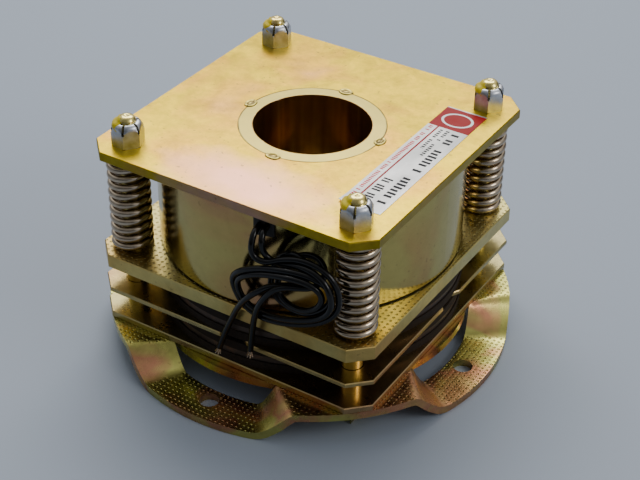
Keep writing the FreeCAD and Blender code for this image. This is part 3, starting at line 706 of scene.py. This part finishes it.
def build_stud(corner, side_x, side_y):
    """A turned stud: riveted foot, guide diameter, cut thread and domed tip with a turning centre."""
    centre = stud_axis(side_x, side_y)
    foot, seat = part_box("guide_stud_" + corner)[0].z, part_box("bottom_plate")[1].z
    guide, neck = 5.0 * MM, 4.0 * MM
    under_flange = FLANGE_HIGH - FLANGE_THICK
    profile = [(0.4 * MM, foot), (4.6 * MM, foot), (5.6 * MM, foot + 0.5 * MM),
               (6 * MM, foot + 1.3 * MM), (6 * MM, under_flange), (neck, under_flange),
               (neck, seat), (guide, seat), (guide, 95 * MM), (THREAD_RADIUS, 96 * MM)]
    steps, thread_low, thread_high = 40, 97 * MM, STUD_TIP - 1.7 * MM
    rings = [circle(centre, r, z, steps) for r, z in profile]
    rows = int((thread_high - thread_low) / THREAD_PITCH * 8)
    for row in range(rows + 1):
        z = thread_low + (thread_high - thread_low) * row / rows
        fade = min(1, row / 8, (rows - row) / 4)
        ring = []
        for k in range(steps):
            a = 2 * math.pi * k / steps
            phase = (z / THREAD_PITCH - k / steps) % 1
            r = THREAD_RADIUS - THREAD_DEPTH * fade * (1 - abs(2 * phase - 1))
            ring.append(polar(centre, r, a, z))
        rings.append(ring)
    rings += [circle(centre, r * MM, STUD_TIP - drop * MM, steps) for r, drop in STUD_DOME]
    obj = add_mesh("stud_" + corner, *loft(rings, caps=True), 40)
    finish_piece(obj, "magnet_frame", MATERIALS["stud_zinc"], ["guide_stud_" + corner])


NUT_FLATS = 13 * MM
# Radius limit and height in mm: hexagon, crown, then down the bore.
NUT_PROFILE = ((7.2, 0.0), (7.51, 0.25), (7.51, 7.7), (7.25, 8.0), (6.95, 8.3), (6.6, 9.0), (6.3, 9.7),
               (5.85, 10.25), (5.3, 10.65), (4.8, 10.8), (4.35, 10.8), (4.0, 10.5), (4.0, 0.3), (4.4, 0.0))
SLOT_SIZE, SLOT_HEIGHT = (16 * MM, 1.1 * MM, 8 * MM), 10.6 * MM
NUT_TURN = {"front_left": 22.0, "front_right": 23.4, "back_right": 24.5, "back_left": 21.3}
NUT_STEPS = 96


def nut_ring(radius_limit, z, centre, turn):
    """One ring of the hexagon, cut to a circle of radius_limit where that is smaller."""
    ring = []
    for k in range(NUT_STEPS):
        a = 2 * math.pi * k / NUT_STEPS
        side = (a + math.pi / 6) % (math.pi / 3) - math.pi / 6
        r = min(NUT_FLATS / 2 / math.cos(side), radius_limit)
        ring.append(polar(centre, r, a + turn, z))
    return ring


def build_nut(corner, side_x, side_y):
    """A lock nut: chamfered hexagon below, domed crown above, six slots at its corners."""
    centre = stud_axis(side_x, side_y)
    turn = math.radians(NUT_TURN[corner])
    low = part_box("lock_nut_" + corner)[0].z
    rings = [nut_ring(r * MM, low + z * MM, centre, turn) for r, z in NUT_PROFILE]
    obj = add_mesh("castle_nut_" + corner, *loft(rings, wrap=True), 30)
    place = (centre.x, centre.y, low + SLOT_HEIGHT)
    slots = [box_cutter(SLOT_SIZE, place, turn + math.pi / 6 + math.pi * k / 3) for k in range(3)]
    cut_away(obj, slots, 30)
    round_edges(obj, 0.12 * MM, 35, 2)
    finish_piece(obj, "magnet_frame", MATERIALS["nut_plated"], ["lock_nut_" + corner])


PAINT_SIDE, PAINT_HALF_ANGLE, PAINT_SUNK = math.radians(212), math.radians(52), 0.5
# Radius and height in mm down the nut: from the stud's thread over the crown to the hexagon.
PAINT_PATH = ((3.2, 13.2), (3.7, 12.5), (4.0, 11.7), (4.6, 11.1), (5.4, 10.8), (6.0, 10.2),
              (6.4, 9.4), (6.6, 8.6), (6.8, 7.9))


def build_paint(corner, side_x, side_y):
    """A dab of yellow paint over the crown, from the stud's thread to the top of the hexagon."""
    centre = stud_axis(side_x, side_y)
    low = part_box("lock_nut_" + corner)[0].z
    columns = 17
    outer, inner = [], []
    for i, (r, z) in enumerate(PAINT_PATH):
        for j in range(columns):
            across = 2 * j / (columns - 1) - 1
            ragged = 1 - 0.25 * noise.noise((i * 0.6, side_x * 3, side_y * 5))
            angle = PAINT_SIDE + PAINT_HALF_ANGLE * across * ragged
            down = 2 * i / (len(PAINT_PATH) - 1) - 1
            edge = max(0.0, 1 - across ** 4) * max(0.0, 1 - down ** 6)
            lumpy = 1 + 0.5 * noise.noise((angle * 3, z * 0.5, side_x + 2 * side_y))
            swell = 0.6 * edge * lumpy - 0.25
            outer.append(polar(centre, (r + swell) * MM, angle, low + (z + 0.6 * swell) * MM))
            inner.append(polar(centre, (r - PAINT_SUNK) * MM, angle, low + (z - PAINT_SUNK) * MM))
    obj = add_mesh("torque_paint_" + corner, *thick_sheet(outer, inner, columns), 60)
    finish_piece(obj, "magnet_frame", MATERIALS["torque_paint"])


for corner, (side_x, side_y) in CORNERS.items():
    build_spring(corner, side_x, side_y)
    build_stud(corner, side_x, side_y)
    build_nut(corner, side_x, side_y)
    build_paint(corner, side_x, side_y)


# ---------------------------------------------------------------- label and staking marks

def build_label():
    """A foil label whose near inner corner has lifted a little."""
    columns, rows, lifted_reach = 16, 60, 9 * MM
    width, length = LABEL_HIGH.x - LABEL_LOW.x, LABEL_HIGH.y - LABEL_LOW.y
    outer, inner = [], []
    for i in range(rows + 1):
        for j in range(columns + 1):
            x, y = LABEL_LOW.x + width * j / columns, LABEL_LOW.y + length * i / rows
            from_corner = math.hypot(x - LABEL_LOW.x, 0.7 * (y - LABEL_LOW.y)) / lifted_reach
            lift = 0.9 * MM * max(0.0, 1 - from_corner) ** 2
            ripple = 0.03 * MM * noise.noise((x * 90, y * 60, 1.0))
            outer.append((x, y, LABEL_HIGH.z + lift + ripple))
            inner.append((x, y, LABEL_LOW.z + 0.01 * MM + lift))
    obj = add_mesh("foil_label", *thick_sheet(outer, inner, columns + 1), 50)
    finish_piece(obj, "magnet_frame", MATERIALS["label_foil"], ["blank_label"])


build_label()


STAKE_CIRCLE, STAKE_HALF_LENGTH, STAKE_HALF_WIDTH = 33.6 * MM, 3.8 * MM, 2.7 * MM
# Share of the mark's size and height in mm, from its outer edge over the lip into the dent.
STAKE_PROFILE = ((1.0, -0.25), (0.98, 0.0), (0.9, 0.4), (0.78, 0.62), (0.64, 0.5), (0.48, 0.16),
                 (0.25, 0.02), (0.03, 0.0))


def build_stake(number, degrees):
    """A punch mark over the joint of pole tube and top plate: a raised oval lip round a dent."""
    angle = math.radians(degrees)
    centre = Vector(polar(Vector(), STAKE_CIRCLE, angle, TOP_FACE))
    rings = []
    for share, height in STAKE_PROFILE:
        ring = []
        for k in range(28):
            a = 2 * math.pi * k / 28
            uneven = 1 + 0.12 * noise.noise((math.cos(a) * 1.7, math.sin(a) * 1.7, number * 3.1))
            along = STAKE_HALF_LENGTH * share * uneven * math.cos(a)
            across = STAKE_HALF_WIDTH * share * uneven * math.sin(a)
            ring.append((centre.x - along * math.sin(angle) + across * math.cos(angle),
                         centre.y + along * math.cos(angle) + across * math.sin(angle),
                         centre.z + height * MM))
        rings.append(ring)
    obj = add_mesh("stake_mark_%d" % number, *loft(rings, caps=True), 60)
    finish_piece(obj, "magnet_frame", MATERIALS["pole_zinc"])


for number, degrees in enumerate((180, 95, 5, -88), start=1):
    build_stake(number, degrees)


# ---------------------------------------------------------------- leads

LEAD_DIAMETER = 2.8 * MM
HANK_X, HANK_Z, HANK_TILT = 34.5, 72.6, math.radians(18.8)
# The hank's larger and smaller turn for each lead, in mm from its middle: left end, right end and
# half width across its long axis.
OUTER = {"a": (-26.6, 26.6, 16.4), "b": (-23.7, 24.8, 13.5)}
INNER = {"a": (-8.8, 23.0, 10.6), "b": (-4.2, 20.2, 8.3)}
HANK_ANGLES = [-90, 0, 45, 90, 135, 180, 225, 270, 315, 360, 405, 450, 495, 540]
HANK_DEPTHS = {
    "a": [-75.4, -73.0, -73.8, -75.0, -75.0, -75.4, -78.4, -78.6, -76.4, -73.6, -74.0, -74.8,
          -73.0, -72.6],
    "b": [-75.0, -76.6, -76.4, -76.2, -75.6, -76.4, -78.9, -79.9, -78.4, -76.6, -76.4, -76.4,
          -75.0, -73.8]}
# Where along its path the lead passes from the larger turn to the smaller, in degrees.
HANK_NARROWS, HANK_NARROWING = 190, 120
HANK_SQUARENESS = 0.18


def hank_turns(lead, first, last, step=22.5):
    """Route points of one lead round the hank, clockwise in degrees from its right end."""
    points = []
    for degrees in np.arange(first, last + 1e-6, step):
        shrunk = min(max((degrees - HANK_NARROWS) / HANK_NARROWING, 0), 1)
        grown = 1 - shrunk * shrunk * (3 - 2 * shrunk)
        left, right, half = (i + (o - i) * grown for i, o in zip(INNER[lead], OUTER[lead]))
        square = 1 - HANK_SQUARENESS * grown
        lengthwise, crosswise = math.cos(math.radians(degrees)), -math.sin(math.radians(degrees))
        lengthwise = math.copysign(abs(lengthwise) ** square, lengthwise)
        crosswise = math.copysign(abs(crosswise) ** square, crosswise)
        along, across = (left + right) / 2 + (right - left) / 2 * lengthwise, half * crosswise
        points.append((HANK_X + along * math.cos(HANK_TILT) - across * math.sin(HANK_TILT),
                       float(np.interp(degrees, HANK_ANGLES, HANK_DEPTHS[lead])),
                       HANK_Z + along * math.sin(HANK_TILT) + across * math.cos(HANK_TILT)))
    return points


# Each lead's route in mm: from the can's slot down to the hank, round it, behind it and down the tail.
LEAD_ROUTES = {
    "a": [
        (19.1, -69.8, 97.4), (19.4, -72.6, 97.4), (19.8, -75.4, 96.4), (20.2, -77.4, 94.2),
        (20.3, -78.3, 91.3), (20.9, -78.5, 88.4), (23.0, -78.2, 86.2), (26.2, -77.4, 85.6),
        (29.6, -76.6, 86.6), (33.2, -75.9, 88.6)
    ] + hank_turns("a", -67.5, 540) + [
        (25.6, -71.6, 75.5), (26.6, -70.4, 81.0), (29.8, -70.0, 86.0), (34.4, -70.0, 88.8),
        (39.0, -70.3, 89.2), (43.0, -71.0, 87.0), (44.6, -72.0, 83.0), (43.2, -73.2, 79.2),
        (39.6, -74.6, 77.0), (34.4, -76.4, 76.4), (28.8, -78.4, 74.8), (24.6, -79.8, 71.6),
        (20.4, -80.2, 67.6), (16.6, -79.6, 63.0), (13.0, -78.4, 57.6), (9.6, -77.2, 51.0),
        (4.4, -76.4, 39.5), (0.8, -76.0, 29.0)],
    "b": [
        (22.0, -68.9, 97.4), (22.5, -71.4, 97.4), (23.2, -74.0, 96.6), (23.8, -75.8, 94.6),
        (24.1, -76.2, 91.8), (24.7, -75.7, 88.8), (26.5, -75.0, 86.3), (29.8, -74.4, 85.1),
        (34.2, -74.6, 85.9)
    ] + hank_turns("b", -67.5, 540) + [
        (29.6, -72.6, 76.0), (31.4, -70.0, 81.6), (35.0, -67.2, 86.0), (40.4, -65.4, 88.0),
        (46.0, -65.6, 87.6), (50.2, -68.0, 84.8), (50.8, -71.4, 81.4), (47.8, -74.8, 79.2),
        (43.0, -77.2, 78.8), (37.6, -78.8, 78.2), (32.6, -79.6, 75.4), (28.8, -80.4, 71.0),
        (25.8, -80.4, 66.2), (23.2, -79.6, 60.6), (20.6, -78.0, 52.0), (18.4, -76.4, 42.0),
        (17.4, -76.0, 34.5)],
}


def build_lead(lead):
    """One of the coil's leads as a single smooth curve, from the slot in the can to its bare end."""
    curve = bpy.data.curves.new("coil_lead_" + lead, "CURVE")
    curve.dimensions = "3D"
    route = LEAD_ROUTES[lead]
    spline = curve.splines.new("NURBS")
    spline.points.add(len(route) - 1)
    for point, place in zip(spline.points, route):
        point.co = (*(c * MM for c in place), 1)
    spline.order_u = 3
    spline.use_endpoint_u = True
    spline.resolution_u = 6
    curve.bevel_depth = LEAD_DIAMETER / 2
    curve.bevel_resolution = 4
    curve.use_fill_caps = True
    obj = link(bpy.data.objects.new("coil_lead_" + lead, curve))
    finish_piece(obj, "magnet_frame", MATERIALS["lead_insulation"],
                 ["lead_%s_start" % lead, "lead_%s_tail" % lead, "lead_knot"])
    return obj


STRAND_HIDDEN, STRAND_LENGTH, STRAND_RADIUS = 1.5 * MM, 5.2 * MM, 0.25 * MM


def build_bare_end(lead):
    """The stripped end: fine strands that splay a little round one in the middle."""
    start = Vector(LEAD_ROUTES[lead][-1]) * MM
    before = Vector(LEAD_ROUTES[lead][-2]) * MM
    along = (start - before).normalized()
    side = along.cross(Vector((0, 1, 0))).normalized()
    front = along.cross(side)
    vertices, faces = [], []
    around, steps = 6, 8
    for strand in range(around + 1):
        a = 2 * math.pi * strand / around
        spread = 0.0 if strand == around else 1.0
        points = []
        for k in range(steps + 1):
            t = k / steps
            out = spread * (0.55 + 0.75 * t * t) * MM
            place = start - STRAND_HIDDEN * along + STRAND_LENGTH * t * along
            twisted = a + 0.9 * t
            points.append(place + out * math.cos(twisted) * side + out * math.sin(twisted) * front)
        more, more_faces = swept(points, [side] * len(points), STRAND_RADIUS, 6)
        faces += [tuple(len(vertices) + v for v in face) for face in more_faces]
        vertices += more
    obj = add_mesh("bare_strands_" + lead, vertices, faces, 60)
    return finish_piece(obj, "magnet_frame", MATERIALS["tinned_strands"],
                        ["lead_%s_bare_end" % lead])


for lead in "ab":
    cable = build_lead(lead)
    strands = build_bare_end(lead)


# ---------------------------------------------------------------- floor, lights and camera

def build_floor():
    n = Nodes("floor_paint", (0.27, 0.315, 0.38), 0.0, 0.6)
    corners = [(3.0 * x, 3.0 * y, 0) for x, y in ((-1, -1), (1, -1), (1, 1), (-1, 1))]
    floor = add_mesh("floor", corners, [(0, 1, 2, 3)])
    floor.data.materials.append(n.material)


# Each glow's direction, the cosines from it where it is full and where it ends, and its colour.
GLOWS = (((0, 0, 1), 0.9, -0.3, (0.34, 0.35, 0.37)),
         ((-0.40, 0.60, 0.70), 0.92, 0.45, (0.85, 0.82, 0.78)),
         ((0.92, 0.15, 0.40), 0.95, 0.55, (0.55, 0.56, 0.58)),
         ((-0.9, -0.2, 0.35), 0.95, 0.6, (0.22, 0.24, 0.27)))
WORLD_STRENGTH = 0.8


def build_world():
    """A dim room with a glow overhead, a bright one behind the brake and one to each side."""
    world = bpy.data.worlds.new("studio")
    world.use_nodes = True
    tree = world.node_tree
    background = tree.nodes["Background"]
    direction = tree.nodes.new("ShaderNodeTexCoord").outputs["Generated"]
    total = None
    for toward, inner, outer, colour in GLOWS:
        aim = tree.nodes.new("ShaderNodeVectorMath")
        aim.operation = "DOT_PRODUCT"
        aim.inputs[1].default_value = Vector(toward).normalized()
        tree.links.new(direction, aim.inputs[0])
        fade = tree.nodes.new("ShaderNodeMapRange")
        fade.interpolation_type = "SMOOTHSTEP"
        fade.inputs["From Min"].default_value = outer
        fade.inputs["From Max"].default_value = inner
        tree.links.new(aim.outputs["Value"], fade.inputs["Value"])
        tint = tree.nodes.new("ShaderNodeVectorMath")
        tint.operation = "SCALE"
        tint.inputs[0].default_value = colour
        tree.links.new(fade.outputs["Result"], tint.inputs["Scale"])
        if total is None:
            total = tint.outputs[0]
            continue
        both = tree.nodes.new("ShaderNodeVectorMath")
        both.operation = "ADD"
        tree.links.new(total, both.inputs[0])
        tree.links.new(tint.outputs[0], both.inputs[1])
        total = both.outputs[0]
    tree.links.new(total, background.inputs["Color"])
    background.inputs["Strength"].default_value = WORLD_STRENGTH
    bpy.context.scene.world = world


def add_light(name, place, target, size, power, colour=(1, 1, 1)):
    data = bpy.data.lights.new(name, "AREA")
    data.shape = "RECTANGLE"
    data.size, data.size_y = size
    data.energy = power
    data.color = colour
    lamp = link(bpy.data.objects.new(name, data))
    lamp.location = place
    lamp.rotation_euler = (Vector(target) - Vector(place)).to_track_quat("-Z", "Y").to_euler()


def build_camera():
    place = Vector((0.3038, -0.4807, TOP_FACE + 0.3242))
    forward = Vector((-0.4363, 0.7018, -0.5631)).normalized()
    level = Vector((0.8492, 0.5280, 0)).normalized()
    roll = math.radians(0.906)
    upright = level.cross(forward)
    right = math.cos(roll) * level + math.sin(roll) * upright
    up = -math.sin(roll) * level + math.cos(roll) * upright
    data = bpy.data.cameras.new("camera")
    data.sensor_width = 36
    data.lens = 81.65
    data.clip_start, data.clip_end = 0.01, 50
    camera = link(bpy.data.objects.new("camera", data))
    camera.matrix_world = Matrix.Translation(place) @ Matrix((right, up, -forward)).transposed().to_4x4()
    bpy.context.scene.camera = camera


build_floor()
build_world()
add_light("key_back", (-0.50, 0.75, 1.15), (0, 0, 0.05), (1.2, 0.7), 17)
add_light("fill_right", (1.3, 0.1, 0.9), (0, 0, 0.05), (0.6, 0.6), 6, (1.0, 0.98, 0.95))
build_camera()
